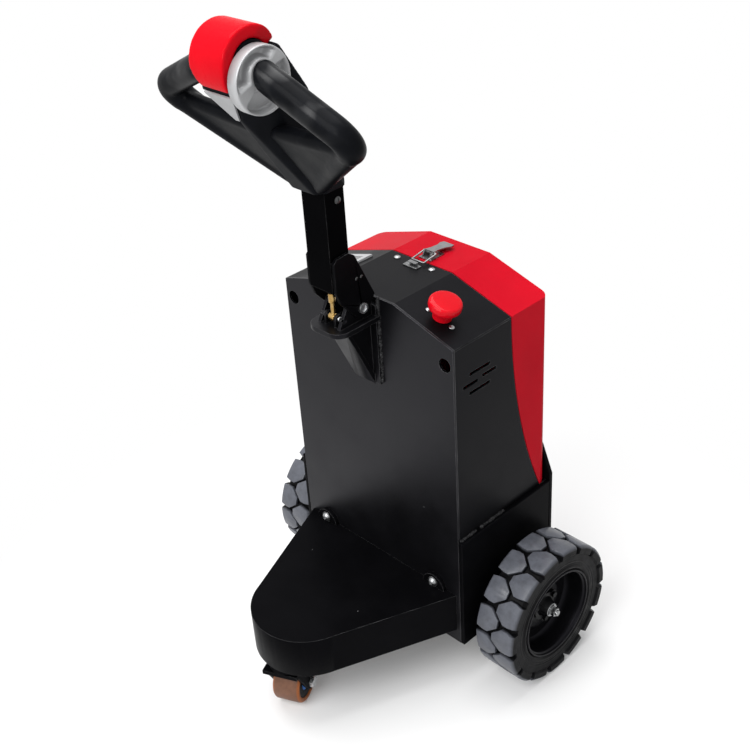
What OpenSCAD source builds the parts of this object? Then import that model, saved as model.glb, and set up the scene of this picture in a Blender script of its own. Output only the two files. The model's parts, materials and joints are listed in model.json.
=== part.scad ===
// Electric tow tractor, walk-behind: sheet steel body on two driven wheels,
// a castor under the nose, a sprung tiller and a rear tow jaw.
// Millimetres, +Z up, -Y is the tiller end, +X is the right side seen from the tow jaw.
// The origin is on the floor under the middle of the overall length and width.

/* [Wheels] */
// Drive tyre radius out to the lug tips
tyre_r = 130; // [100:1:170]
// Drive tyre width over the lugs
tyre_w = 80; // [60:1:100]
// Gap between a drive tyre and its chassis plate
wheel_gap = 18; // [12:1:30]
// Lugs in each of the two rows of a tyre
lug_count = 15; // [11:1:18]
// Rim radius under the tyre
rim_r = 84; // [70:1:95]
// Castor wheel radius
castor_r = 40; // [30:1:50]
// Castor tread width
castor_w = 50; // [36:1:56]
// Castor swivel axis behind the nose tip
castor_inset = 34; // [34:1:72]
// Castor swivel axis to castor axle
castor_trail = 25; // [15:1:32]
// Castor turned about its swivel at rest
castor_turn = 205; // [0:5:360]

/* [Body] */
// Body width over the sheet sides
body_w = 376; // [340:1:390]
// Front panel ahead of the drive axle
front_reach = 137; // [120:1:150]
// Hood rear face behind the drive axle
rear_reach = 90; // [80:1:95]
// Height of the flat middle of the top
top_z = 720; // [680:1:760]
// Height of the body's side edges
side_z = 683; // [640:1:700]
// Width of the flat middle of the top
top_flat_w = 132; // [100:1:180]
// Sheet thickness of body and hood
sheet_t = 3; // [2:0.5:4]
// Radius of the curved seam between body and hood
seam_r = 955; // [800:5:1200]
// Clear seam between body and hood
seam_gap = 2; // [1:0.5:4]

/* [Chassis] */
// Chassis side plate thickness
plate_t = 8; // [6:1:12]
// Underside of the chassis below the drive axle
chassis_drop = 37; // [30:1:50]
// Height of the chassis side plates
chassis_h = 224; // [200:1:240]
// Rear plate above the side plates
rear_rise = 69; // [50:1:90]

/* [Nose] */
// Nose tip ahead of the drive axle
nose_reach = 412; // [390:1:430]
// Nose tip radius
nose_r = 98; // [80:1:110]
// Nose width at the front panel
nose_w = 362; // [330:1:370]
// Nose top height
nose_z = 198; // [180:1:210]
// Nose skirt height
nose_h = 78; // [60:1:90]

/* [Tiller] */
// Tiller pivot ahead of the drive axle
pivot_reach = 167; // [160:1:170]
// Tiller pivot height
pivot_z = 715; // [700:1:730]
// Tiller tube width
tube_w = 50; // [40:1:60]
// Tiller tube depth
tube_d = 38; // [30:1:44]
// Lean of the tiller head from the tube
head_lean = 33; // [20:1:45]
// Half width of the handle over the loops
handle_half = 199; // [185:1:220]
// Grip radius
grip_r = 20; // [15:1:22]

/* [Tow jaw] */
// Rearmost point of the jaw behind the drive axle
hitch_reach = 172; // [150:1:190]
// Height of the middle of the jaw
hitch_z = 232; // [200:1:260]
// Clear height inside the jaw
hitch_gap = 40; // [30:1:50]
// Jaw pin bore radius
hitch_bore_r = 10.5; // [8:0.5:14]

/* [Hidden] */
$fn = 96;
axle_y = (nose_reach - hitch_reach) / 2;
hb = body_w / 2;
hk = top_flat_w / 2;
hc = hb + plate_t;
castor_reach = nose_reach - castor_inset;
wheel_x = hc + wheel_gap + tyre_w / 2;
chassis_z = tyre_r - chassis_drop;
chassis_top = chassis_z + chassis_h;
rear_top = chassis_top + rear_rise;
tray_z = tyre_r + 75;
yf = -front_reach;
yr = rear_reach;
yh = -1;
panel_t = 4;
y_in = yf + panel_t;
y_plate = yr + 2;
hn = nose_w / 2;
tip_y = nose_r - nose_reach;
tube_front = -pivot_reach - 52;
tube_z0 = pivot_z + 41;
tube_z1 = pivot_z + 218;
neck_z = pivot_z + 190;
neck_y = tube_front + tube_d / 2;

BLACK = [0.03, 0.03, 0.035];
RED = [0.78, 0.05, 0.06];
STEEL = [0.7, 0.71, 0.72];
RUBBER = [0.09, 0.09, 0.1];
SILVER = [0.72, 0.73, 0.74];

// Profile drawn in Y and Z, pushed out along X from x0
module yz(x0, t) {
    translate([x0, 0, 0]) rotate([90, 0, 90]) linear_extrude(t) children();
}

// Profile drawn in X and Z, pushed back along Y from y0
module xz(y0, t) {
    translate([0, y0 + t, 0]) rotate([90, 0, 0]) linear_extrude(t) children();
}

module on_axle() {
    translate([0, axle_y, 0]) children();
}

module rod_x(x0, x1, y, z, r) {
    translate([x0, y, z]) rotate([0, 90, 0]) cylinder(h = x1 - x0, r = r);
}

module rod_y(x, y0, y1, z, r) {
    translate([x, y0, z]) rotate([-90, 0, 0]) cylinder(h = y1 - y0, r = r);
}

// Body outline seen from the front
module body_outline(z0) {
    polygon([[-hb, z0], [hb, z0], [hb, side_z], [hk, top_z], [-hk, top_z], [-hb, side_z]]);
}

// Front panel with its two eye holes
module front_panel() {
    on_axle() color(BLACK) difference() {
        xz(yf, panel_t) body_outline(chassis_z);
        for (s = [-1, 1])
            rod_y(s * (hb - 17), yf - 1, y_in + 1, side_z - 31, 12);
    }
}

// Folded top between front panel and hood
module top_cover() {
    dz = sheet_t + 0.2;
    on_axle() color(BLACK) xz(y_in, yh - seam_gap - y_in)
        polygon([[-hb, side_z], [-hk, top_z], [hk, top_z], [hb, side_z],
                 [hb, side_z - dz], [hk, top_z - dz], [-hk, top_z - dz], [-hb, side_z - dz]]);
}

// Louvre slots in a side panel: start y, drop below the side edge, length
slots = [[-101, 58, 48], [-72, 73, 33], [-116, 76, 34], [-102, 92, 48]];

module side_panel(s) {
    on_axle() color(BLACK) difference() {
        yz(s > 0 ? hb - sheet_t : -hb, sheet_t) difference() {
            translate([y_in, chassis_top - 17])
                square([y_plate - y_in, side_z - sheet_t - 0.2 - chassis_top + 17]);
            intersection() {
                translate([yh + seam_r, 690]) circle(r = seam_r + seam_gap, $fn = 400);
                translate([y_in, chassis_top]) square([400, 500]);
            }
        }
        yz(-hb - 10, 2 * hb + 20) for (q = slots)
            translate([q[0], side_z - q[1] - 3]) square([q[2], 6]);
    }
}

module side_panel_left() {
    side_panel(-1);
}

module side_panel_right() {
    side_panel(1);
}

// Thick side plate of the chassis with the hole for its axle tube
module chassis_side(s) {
    on_axle() color(BLACK) difference() {
        yz(s > 0 ? hb : -hc, plate_t)
            translate([yf, chassis_z]) square([y_plate - yf, chassis_top - chassis_z]);
        rod_x(-hc - 1, hc + 1, 0, tyre_r, 24.3);
    }
}

module chassis_side_left() {
    chassis_side(-1);
}

module chassis_side_right() {
    chassis_side(1);
}

module rear_plate() {
    corner = 22;
    on_axle() color(BLACK) xz(y_plate, plate_t)
        polygon([[-hc, chassis_z], [hc, chassis_z], [hc, rear_top - 2.5 * corner], [hc - corner, rear_top],
                 [-hc + corner, rear_top], [-hc, rear_top - 2.5 * corner]]);
}

// Floor with the cut-out for the drive unit
module floor_plate() {
    on_axle() color(BLACK) translate([0, 0, chassis_z]) difference() {
        translate([-hb, y_in, 0]) cube([2 * hb, y_plate - y_in, plate_t]);
        translate([-95, y_in + 5, -1]) cube([190, y_plate - y_in - 19, plate_t + 2]);
    }
}

module battery_tray() {
    on_axle() color(BLACK) translate([-hb, y_in, tray_z]) cube([2 * hb, y_plate - y_in, plate_t]);
}

module battery_pack() {
    on_axle() color([0.2, 0.21, 0.23]) translate([-hb + 23, y_in + 18, tray_z + plate_t])
        cube([2 * hb - 46, yr - y_in - 43, 230]);
}

// Drive unit: gear case across the axle with its motor ahead
module transaxle() {
    on_axle() color([0.2, 0.2, 0.21]) union() {
        rod_x(-80, 80, 0, tyre_r, 57);
        rod_y(0, -125, 0, tyre_r + 6, 48);
    }
}

// Fixed axle tubes with their flanges
module axle_tubes() {
    on_axle() color([0.16, 0.16, 0.17]) for (s = [-1, 1]) difference() {
        union() {
            rod_x(s > 0 ? 80 : -hc - 6, s > 0 ? hc + 6 : -80, 0, tyre_r, 24);
            rod_x(s > 0 ? hc : -hc - 6, s > 0 ? hc + 6 : -hc, 0, tyre_r, 38);
        }
        rod_x(s > 0 ? 79 : -hc - 7, s > 0 ? hc + 7 : -79, 0, tyre_r, 14.06);
    }
}

// Nose block of height h, drawn in by t from its outside
nose_d = sqrt(hn * hn + (yf - tip_y) * (yf - tip_y));
nose_a = atan2(yf - tip_y, hn) - acos(nose_r / nose_d);

module nose_block(t, h) {
    r = nose_r - t;
    q = r - 0.3;
    x0 = hn - (t + 0.3) / cos(nose_a);
    union() {
        translate([0, tip_y, 0]) cylinder(h = h, r = r, $fn = 160);
        linear_extrude(h)
            polygon([[x0, yf], [q * cos(nose_a), tip_y + q * sin(nose_a)],
                     [-q * cos(nose_a), tip_y + q * sin(nose_a)], [-x0, yf]]);
    }
}

module nose_shell() {
    on_axle() color(BLACK) translate([0, 0, nose_z - nose_h]) difference() {
        nose_block(0, nose_h);
        translate([0, 0, -1]) nose_block(5, nose_h - 5);
    }
}

// Plate inside the skirt that carries the castor
module nose_floor() {
    on_axle() color(BLACK) translate([0, 0, nose_z - nose_h]) intersection() {
        nose_block(5.1, 6);
        translate([-200, -nose_reach, -1]) cube([400, 150, 10]);
    }
}

// Half-round ears that tie the nose to the front panel
module nose_ears() {
    on_axle() color(BLACK) for (s = [-1, 1])
        xz(yf - 8, 8) translate([s * 134, nose_z]) intersection() {
            circle(r = 24);
            translate([-30, 0]) square([60, 40]);
        }
}

// Domed bolts with washers in the ears
module nose_bolts() {
    on_axle() color(STEEL) for (s = [-1, 1]) translate([s * 134, yf - 8, nose_z + 10]) rotate([90, 0, 0])
        difference() {
            union() {
                cylinder(h = 1.5, r = 10);
                intersection() {
                    translate([0, 0, -1]) sphere(r = 8.5, $fn = 48);
                    cylinder(h = 10, r = 12);
                }
            }
            translate([0, 0, 4.5]) cylinder(h = 6, r = 3.5, $fn = 6);
        }
}

// Radius of the pivot bush
bush_r = 6;

// Bracket that carries the tiller: back plate, deck, two cheeks and a gusset below
module tiller_bracket() {
    py = -pivot_reach;
    yb = yf - 6;
    deck = pivot_z - 32;
    toe = py - 45;
    cheek_x = tube_w / 2 - 0.3;
    on_axle() color(BLACK) difference() {
        union() {
            translate([-34, yb, deck - 118]) cube([68, 6, 144]);
            translate([0, 0, deck]) linear_extrude(8) {
                translate([-38, py - 38]) square([76, yf - py + 38]);
                translate([-16, py - 60]) square([32, 30]);
                for (s = [-1, 1])
                    translate([s * 16, py - 38]) circle(r = 22);
            }
            for (s = [-1, 1])
                yz(s > 0 ? cheek_x - 6 : -cheek_x, 6)
                    polygon([[yb, deck + 7], [toe, deck + 7], [py - 23, pivot_z + 13], [py - 5, pivot_z + 20],
                             [py + 12, pivot_z + 14], [yb, pivot_z - 8]]);
            for (s = [-1, 1])
                yz(s > 0 ? 14 : -20, 6) polygon([[yb, deck + 1], [py - 26, deck + 1], [yb, deck - 117]]);
            yz(-23, 46)
                polygon([[py - 26, deck + 1], [py - 33, deck + 1], [yb, deck - 121], [yb, deck - 103]]);
            for (s = [-1, 1])
                yz(s > 0 ? 9 : -13, 4) {
                    translate([py - 41, deck + 7]) square([16, 13]);
                    translate([py - 33, deck + 20]) circle(r = 8);
                }
        }
        rod_x(-50, 50, py, pivot_z, bush_r + 0.05);
        rod_x(-30, 30, py - 33, pivot_z - 12, 4.2);
    }
}

// Pivot bush of the tiller, its bolt heads and the pin of the gas spring
module pivot_bolt() {
    hx = tube_w / 2 + 6.3;
    on_axle() color(STEEL) {
        rod_x(-hx, hx, -pivot_reach, pivot_z, bush_r);
        rod_x(-16, 16, -pivot_reach - 33, pivot_z - 12, 4);
        for (s = [-1, 1])
            translate([s * hx, -pivot_reach, pivot_z]) rotate([0, s * 90, 0]) difference() {
                cylinder(h = 3.5, r = bush_r + 2.5);
                translate([0, 0, 1.5]) cylinder(h = 4, r = bush_r - 0.5);
            }
    }
}

estop_x = hb - 60;
estop_y = yf + 43;
slope = atan2(top_z - side_z, hb - hk);

module on_slope(x, y) {
    translate([x, y, top_z - (abs(x) - hk) * tan(slope)]) rotate([0, sign(x) * slope, 0]) children();
}

// Red mushroom of the emergency stop on its stem
module estop_button() {
    on_axle() color(RED) on_slope(estop_x, estop_y) rotate_extrude() {
        polygon([[0, 0], [17, 0], [16, 4], [15.5, 16], [0, 16]]);
        translate([0, 15])
            polygon([[0, 0], [18, 0], [25, 2.5], [28, 6], [28.5, 10], [27, 14.5], [23, 18.5], [16, 21.5],
                     [8, 22.8], [0, 23]]);
    }
}

// Indicator panel on the left facet: frame with its window and bar slots
module display_panel() {
    on_axle() color(SILVER) on_slope(-hb + 68, yf + 67) difference() {
        translate([-38, -38, 0]) cube([76, 76, 4]);
        translate([-28, 6, 1.5]) cube([56, 22, 4]);
        for (i = [0 : 5])
            translate([-29 + 10 * i, -28, 1.5]) cube([5, 22, 4]);
    }
}

module display_window() {
    on_axle() color([0.02, 0.02, 0.03]) on_slope(-hb + 68, yf + 67) {
        translate([-27.8, 6.2, 1.5]) cube([55.6, 21.6, 2]);
        for (i = [0 : 5])
            translate([-28.8 + 10 * i, -27.8, 1.5]) cube([4.6, 21.6, 1.5]);
    }
}

// Pan head screw standing on z 0
module screw(r) {
    difference() {
        intersection() {
            translate([0, 0, -0.9 * r]) sphere(r = 1.5 * r, $fn = 32);
            cylinder(h = r, r = r);
        }
        translate([-r, -0.6, 0.45 * r]) cube([2 * r, 1.2, r]);
    }
}

// Screws on the black top: x, y, head radius
top_screw = [[-41, -17, 5.5], [34, -15, 5.5]];
side_screw = [[estop_x - 23, estop_y - 5, 4.5], [estop_x + 24, estop_y - 5, 4.5]];

module cover_screws() {
    on_axle() color(STEEL) {
        for (q = top_screw)
            translate([q[0], q[1], top_z]) screw(q[2]);
        for (q = side_screw)
            on_slope(q[0], q[1]) screw(q[2]);
    }
}

// Strike of the hood latch: foot with an upturned hook
module latch_strike() {
    on_axle() color(STEEL) translate([0, -24, top_z]) union() {
        difference() {
            translate([-15, -7, 0]) cube([30, 12, 2]);
            for (s = [-1, 1])
                translate([s * 20, -9, -1]) rotate([0, 0, 45]) cube([9, 9, 4], center = true);
        }
        translate([-9, 3, 0]) cube([18, 2, 7]);
        translate([-9, -2, 5.5]) cube([18, 7, 1.5]);
    }
}

// Tow jaw: bolted back plate, two flared tongues with the pin bore and side webs
module tow_jaw() {
    y0 = y_plate + plate_t;
    yc = hitch_reach - 32;
    web_z = hitch_gap / 2 + 11;
    on_axle() color(BLACK) difference() {
        union() {
            translate([-60, y0, hitch_z - 55]) cube([120, 10, 110]);
            for (s = [-1, 1])
                translate([0, 0, hitch_z - 6 + s * (hitch_gap / 2 + 6)]) linear_extrude(12) {
                    translate([0, yc]) circle(r = 32);
                    polygon([[-46, y0 + 9], [46, y0 + 9], [32, yc], [-32, yc]]);
                }
            for (s = [-1, 1], t = [-1, 1])
                yz(s > 0 ? 24 : -30, 6)
                    polygon([[y0 + 9, hitch_z + t * web_z], [yc - 10, hitch_z + t * web_z],
                             [y0 + 9, hitch_z + t * 54]]);
        }
        translate([0, yc, hitch_z - 70]) cylinder(h = 140, r = hitch_bore_r);
    }
}

module tow_bolts() {
    on_axle() color(STEEL) for (sx = [-1, 1], sz = [-1, 1])
        translate([sx * 48, y_plate + plate_t + 10, hitch_z + sz * 43]) rotate([-90, 0, 0])
            cylinder(h = 7, r = 9, $fn = 6);
}

// Jaw pin parked in its holder on the rear plate
module tow_pin() {
    on_axle() color(STEEL) translate([hc - 86, y_plate + plate_t + 18, hitch_z]) union() {
        translate([0, 0, -42]) cylinder(h = 105, r = 10);
        translate([0, 0, -46]) cylinder(h = 4.5, r1 = 6, r2 = 10);
        translate([0, 0, 63]) cylinder(h = 9, r = 16);
        translate([0, 0, 71.5]) rotate([90, 0, 0]) rotate_extrude(angle = 180) translate([11, 0])
            circle(r = 3, $fn = 24);
        translate([-14, -18, -14]) cube([28, 18, 5]);
        translate([-14, -18, 24]) cube([28, 18, 5]);
    }
}

// Fork plates welded to the tube
module tiller_fork() {
    py = -pivot_reach;
    on_axle() color(BLACK) for (s = [-1, 1]) difference() {
        yz(s > 0 ? tube_w / 2 : -tube_w / 2 - 6, 6) {
            translate([py, pivot_z])
                polygon([[-50, 43], [-50, 92], [-44, 98], [-20, 100], [-8, 92], [28, 14], [18, 0], [8, -16],
                         [-8, -16], [-42, 22]]);
            translate([py, pivot_z]) circle(r = 18);
        }
        rod_x(-50, 50, py, pivot_z, bush_r + 0.06);
    }
}

// Screws of the tiller: y and z from the pivot, and x of the face, head radius
fork_screw = [[-8, 53, tube_w / 2 + 6, 3], [2, 53, tube_w / 2 + 6, 3], [-28, 186, tube_w / 2, 6]];

module tiller_screws() {
    on_axle() color(STEEL) for (s = [-1, 1], q = fork_screw)
        translate([s * q[2], q[0] - pivot_reach, pivot_z + q[1]]) rotate([0, s * 90, 0]) screw(q[3]);
}

module tiller_tube() {
    on_axle() color(BLACK) difference() {
        translate([-tube_w / 2, tube_front, tube_z0]) cube([tube_w, tube_d, tube_z1 - tube_z0]);
        translate([-tube_w / 2 + 4, tube_front + 4, tube_z0 - 1])
            cube([tube_w - 8, tube_d - 8, tube_z1 - tube_z0 - 9]);
    }
}

// Frame of the tiller head: Z along its spine, Y to its back
module on_head() {
    translate([0, axle_y + neck_y, neck_z]) rotate([head_lean, 0, 0]) children();
}

// Red cap: radius and axis in the head frame
cap_r = 49;
cap_y = 20;
cap_u = 262;

// Front face of the head: its edge at the neck, at the waist and under the cap
neck = [27, -20, 10];
waist = [4, -28, 199];
brow = [28, -28, 248];

// Cuts one flank back from a sloping edge of the front face
module flank_cut(p, q) {
    d = q - p;
    turn = atan2(d.y, d.x);
    translate(p) rotate([0, acos(d.z / norm(d)), turn]) rotate([0, 0, -40 - turn])
        translate([0, -100, 0]) cube([100, 200, norm(d)]);
}

// Everything below the lower rim of the collar
module below_collar() {
    rotate([-head_lean, 0, 0]) translate([-120, -120, tube_z1 - neck_z - 132]) cube([240, 240, 120]);
}

// Outside of the moulded head: deep at the top, waisted in front, closing round the tube at the neck
module head_core() {
    up = tube_z1 - neck_z;
    hx = tube_w / 2 + 2.5;
    hy = tube_d / 2 + 2.5;
    difference() {
        union() {
            intersection() {
                yz(-40, 80)
                    polygon([[-19, -14], [waist.y, waist.z], [brow.y, brow.z + 2], [-24, cap_u - 6.5],
                             [62, cap_u - 6.5], [66, 248], [64, 168], [26, 34], [22, -14]]);
                xz(-100, 220) polygon([[-28, -30], [28, -30], [36, 30], [36, 270], [-36, 270], [-36, 30]]);
            }
            rotate([-head_lean, 0, 0]) yz(-hx, 2 * hx)
                polygon([[-hy, up - 12], [hy, up - 12], [hy, up], [0, up + 26], [-hy, up + 26]]);
            rod_x(-34, 34, cap_y, cap_u, cap_r - 18.3);
        }
        for (m = [0, 1])
            mirror([m, 0, 0]) {
                flank_cut(neck, waist);
                flank_cut(waist, brow);
            }
        below_collar();
    }
}

module head_body() {
    on_head() color(BLACK) difference() {
        head_core();
        rotate([-head_lean, 0, 0]) translate([-tube_w / 2 - 0.2, -tube_d / 2 - 0.2, -60])
            cube([tube_w + 0.4, tube_d + 0.4, tube_z1 - neck_z + 60.2]);
    }
}

// Silver insert in the front face below the cap
module head_insert() {
    on_head() color(SILVER) xz(waist.y - 3, 2.8)
        polygon([[-brow.x, brow.z + 1.5], [brow.x, brow.z + 1.5], [brow.x, brow.z - 3], [waist.x, waist.z],
                 [-waist.x, waist.z], [-brow.x, brow.z - 3]]);
}

// Round bar from point p to point q
module bar(p, q, r1, r2) {
    d = q - p;
    n = norm(d);
    translate(p) rotate([0, acos(d[2] / n), atan2(d[1], d[0])]) cylinder(h = n, r1 = r1, r2 = r2);
}

// Closed grip loop: swept arm with a round end, and a web below that closes it to the head
arc_r = 20;
arc_x = handle_half - grip_r - arc_r;
arc_u = 183;
sweep = 9;
arm_y = 22;
top_a = 66;
low_a = -45;
web_y = -5;
web_u = 152;
root_u = 42;

// Upper arm of a grip, from the corner to the knob
module grip_arm(r) {
    rotate([0, 0, -sweep]) translate([arc_x + arc_r * cos(top_a), arm_y, arc_u + arc_r * sin(top_a)])
        rotate([0, -top_a, 0]) translate([0, 0, -0.5]) cylinder(h = 160, r = r);
}

// One closed grip: straight arm, rounded corner and a broad web down to the neck
module grip_loop(end) {
    lx = arc_x + arc_r * cos(low_a);
    lu = arc_u + arc_r * sin(low_a);
    low = [lx * cos(sweep) + arm_y * sin(sweep), arm_y * cos(sweep) - lx * sin(sweep), lu];
    difference() {
        intersection() {
            union() {
                grip_arm(grip_r);
                rotate([0, 0, -sweep]) translate([arc_x, arm_y, arc_u]) rotate([90, 0, 0])
                    rotate([0, 0, low_a]) rotate_extrude(angle = top_a - low_a)
                        translate([arc_r, 0]) circle(r = grip_r - 0.3, $fn = 48);
                translate(low) sphere(r = grip_r + 0.4, $fn = 64);
                bar(low, [3, web_y, root_u - 24], grip_r - 0.6, 12.5);
                bar([arc_x, web_y, web_u + 14], [3, web_y, web_u], 12, 12);
                xz(web_y - 11.5, 23)
                    polygon([[lx, lu], [arc_x, web_u + 14], [3, web_u], [3, root_u - 24]]);
            }
            union() {
                translate([36.2, -150, -60]) cube([250, 300, 420]);
                flank_cut(neck, waist);
            }
        }
        below_collar();
        translate([-100, -120, 180]) cube([100 + end, 260, 200]);
    }
}

module grip_loops() {
    on_head() color(BLACK) {
        grip_loop(54.2);
        mirror([1, 0, 0]) grip_loop(36.2);
    }
}

// Red cap: half shell round the top of the head, narrower at its lower edges
module safety_cap() {
    on_head() color(RED) intersection() {
        difference() {
            rod_x(-35, 35, cap_y, cap_u, cap_r);
            rod_x(-36, 36, cap_y, cap_u, cap_r - 18);
            translate([-50, -100, cap_u - 150]) cube([100, 200, 144]);
        }
        xz(-60, 160) polygon([[-27, cap_u - 8], [27, cap_u - 8], [35, cap_u + 24], [35, 320], [-35, 320],
                              [-35, cap_u + 24]]);
    }
}

// Thumb knob on the right grip arm, dished above and below the landing of the arm
module thumb_knobs() {
    on_head() color(SILVER) difference() {
        union() {
            rod_x(36.3, 51, 10, 246, 45);
            translate([50.9, 10, 246]) rotate([0, 90, 0]) cylinder(h = 3.1, r1 = 45, r2 = 42);
        }
        difference() {
            for (t = [-1, 1])
                translate([102, 10 - t * 6, 246 + t * 25]) sphere(r = 59, $fn = 96);
            grip_arm(grip_r + 1.5);
        }
    }
}

// Lower end of the gas spring: eye, slim shank, sleeve and rod
module gas_spring() {
    on_axle() color([0.72, 0.55, 0.25]) translate([0, -pivot_reach - 33, pivot_z - 12]) difference() {
        union() {
            rod_x(-6, 6, 0, 0, 6.5);
            cylinder(h = 32, r = 3.5);
            translate([0, 0, 26]) cylinder(h = 15, r = 5.5);
            cylinder(h = 72, r = 3);
        }
        rod_x(-9, 9, 0, 0, 4.06);
    }
}

// Hood outline from above, drawn in by t
module hood_plan(t) {
    r = 14 - t;
    translate([-hb + t, yh - 1]) square([2 * hb - 2 * t, yr - 14 - yh + 1]);
    translate([-hb + 14, yh - 1]) square([2 * hb - 28, yr - t - yh + 1]);
    for (s = [-1, 1])
        translate([s * (hb - 14), yr - 14]) circle(r = r);
}

module hood_shell() {
    z0 = chassis_top + 0.3;
    t = sheet_t;
    on_axle() color(RED) intersection() {
        difference() {
            intersection() {
                xz(yh - 1, yr - yh + 2) body_outline(z0);
                linear_extrude(900) hood_plan(0);
            }
            intersection() {
                xz(yh - 3, yr - yh + 6)
                    polygon([[-hb + t, z0 - 9], [hb - t, z0 - 9], [hb - t, side_z - t + 0.8],
                             [hk, top_z - t], [-hk, top_z - t], [-hb + t, side_z - t + 0.8]]);
                translate([0, -2, 0]) linear_extrude(900) hood_plan(t);
                linear_extrude(900) hood_plan(t);
            }
        }
        translate([-300, yh + seam_r, 690]) rotate([0, 90, 0]) cylinder(h = 600, r = seam_r, $fn = 400);
    }
}

// Toggle latch on the hood: foot, barrel, wire bail and sloping lever
module hood_latch() {
    on_axle() color(STEEL) translate([0, 0, top_z]) union() {
        translate([-13, 4, 0]) cube([26, 34, 2]);
        for (s = [-1, 1])
            yz(s > 0 ? 8 : -10, 2) polygon([[8, 1], [30, 1], [22, 11], [14, 11]]);
        rod_x(-14, 14, 18, 8.5, 2);
        for (s = [-1, 1])
            translate([s * 13, 18, 8.5]) rotate([99, 0, 0]) cylinder(h = 30, r = 1.5);
        rod_x(-13, 13, -11.4, 3.9, 1.5);
        translate([0, 16, 10.2]) rotate([-6, 0, 0]) linear_extrude(2)
            polygon([[-10, 0], [10, 0], [8, 12], [9, 30], [13, 40], [11, 48], [-11, 48], [-13, 40], [-9, 30],
                     [-8, 12]]);
    }
}

module on_wheel(s) {
    translate([s * wheel_x, axle_y, tyre_r]) rotate([0, s * 90, 0]) children();
}

// One lug of the row at +Z: block with a blunt arrow at its inner end and a bevelled shoulder
module lug() {
    w = tyre_w / 2;
    h = 0.41 * 2 * PI * tyre_r / lug_count;
    intersection() {
        rotate([0, 90, 0]) linear_extrude(tyre_r + 5)
            polygon([[-w - 5, -0.8 * h], [-w - 5, 0.8 * h], [-0.62 * w, h], [-0.36 * w, h],
                     [0.1 * w, 0.32 * h], [0.1 * w, -0.32 * h], [-0.36 * w, -h], [-0.62 * w, -h]]);
        rotate([0, 0, -20]) rotate_extrude(angle = 40)
            polygon([[tyre_r - 11, -6], [tyre_r, -6], [tyre_r, w - 4], [tyre_r - 4, w], [tyre_r - 14, w],
                     [tyre_r - 17, w - 2.8], [tyre_r - 11, w - 9]]);
    }
}

// Lugged tyre: carcass with a ribbed sidewall and two staggered rows of lugs
module tyre(s) {
    w = tyre_w / 2;
    r = rim_r + 0.3;
    pitch = 360 / lug_count;
    on_wheel(s) color(RUBBER) union() {
        rotate_extrude()
            polygon([[r, -w + 5], [r + 3, -w + 2], [r + 8, -w + 2], [r + 9, -w + 3], [tyre_r - 17, -w + 3],
                     [tyre_r - 9, -w + 8], [tyre_r - 9, w - 8], [tyre_r - 17, w - 3], [r + 9, w - 3],
                     [r + 8, w - 2], [r + 3, w - 2], [r, w - 5]]);
        for (i = [0 : lug_count - 1]) {
            rotate([0, 0, i * pitch]) lug();
            rotate([0, 0, (i + 0.5) * pitch]) mirror([0, 0, 1]) lug();
        }
    }
}

module tyre_left() {
    tyre(-1);
}

module tyre_right() {
    tyre(1);
}

// Dished steel rim with a stepped lip
module rim(s) {
    w = tyre_w / 2;
    r = rim_r;
    on_wheel(s) color(BLACK) rotate_extrude()
        polygon([[r, -w + 5], [r, w - 5], [r - 1, w - 2], [r - 4, w - 2], [r - 4, w - 6], [r - 7, w - 8],
                 [r - 8, 2], [r - 12, -5], [r - 34, -3], [r - 40, 2], [34.3, 2], [34.3, -5], [r - 39, -5],
                 [r - 34, -10], [r - 12, -12], [r - 6, -14], [r - 6, -w + 5]]);
}

module rim_left() {
    rim(-1);
}

module rim_right() {
    rim(1);
}

// Hub with its three-lobed flange, bolts, stub shaft, washer and nut
module hub(s) {
    on_wheel(s) color([0.2, 0.2, 0.21]) union() {
        translate([0, 0, -14]) cylinder(h = 17, r = 34);
        translate([0, 0, 2.5]) linear_extrude(6) {
            circle(r = 26);
            for (i = [0 : 2])
                rotate(120 * i) translate([25, 0]) circle(r = 8.5);
        }
        for (i = [0 : 2])
            rotate([0, 0, 120 * i]) translate([26, 0, 8]) cylinder(h = 5, r = 5.5, $fn = 6);
        translate([0, 0, 8]) cylinder(h = 16, r1 = 19, r2 = 12);
        translate([0, 0, 23.5]) cylinder(h = 2.5, r = 10.5);
        translate([0, 0, 25.5]) cylinder(h = 8, r = 8.5, $fn = 6);
        translate([0, 0, 25.5]) cylinder(h = 12, r = 5);
        translate([0, 0, -90]) cylinder(h = 80, r = 14);
    }
}

module hub_left() {
    hub(-1);
}

module hub_right() {
    hub(1);
}

module on_swivel() {
    translate([0, axle_y - castor_reach, 0]) rotate([0, 0, castor_turn]) children();
}

// Castor top plate with its king pin
module castor_plate() {
    on_axle() color(BLACK) translate([0, -castor_reach, nose_z - nose_h - 6]) union() {
        cylinder(h = 6, r = 28);
        translate([0, 0, -26]) cylinder(h = 27, r = 10);
    }
}

// Castor fork below its swivel race
module castor_fork() {
    h = castor_w / 2 + 2;
    on_swivel() color(BLACK) difference() {
        union() {
            translate([0, 0, 97]) cylinder(h = 16.7, r = 26);
            translate([-h - 5, -castor_trail - 14, 90]) cube([2 * h + 10, castor_trail + 40, 8]);
            for (s = [-1, 1])
                yz(s > 0 ? h : -h - 5, 5) {
                    polygon([[20, 91], [-castor_trail - 14, 91], [-castor_trail - 14, castor_r],
                             [-castor_trail + 12, castor_r - 8]]);
                    translate([-castor_trail, castor_r]) circle(r = 14);
                }
        }
        rod_x(-60, 60, -castor_trail, castor_r, 6.1);
        translate([0, 0, 89]) cylinder(h = 40, r = 10.06);
    }
}

module castor_tread() {
    w = castor_w / 2;
    on_swivel() color([0.45, 0.22, 0.12]) translate([0, -castor_trail, castor_r]) rotate([0, 90, 0])
        rotate_extrude()
            polygon([[castor_r - 9, -w + 1], [castor_r - 3, -w], [castor_r, -w + 4], [castor_r, w - 4],
                     [castor_r - 3, w], [castor_r - 9, w - 1]]);
}

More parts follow.
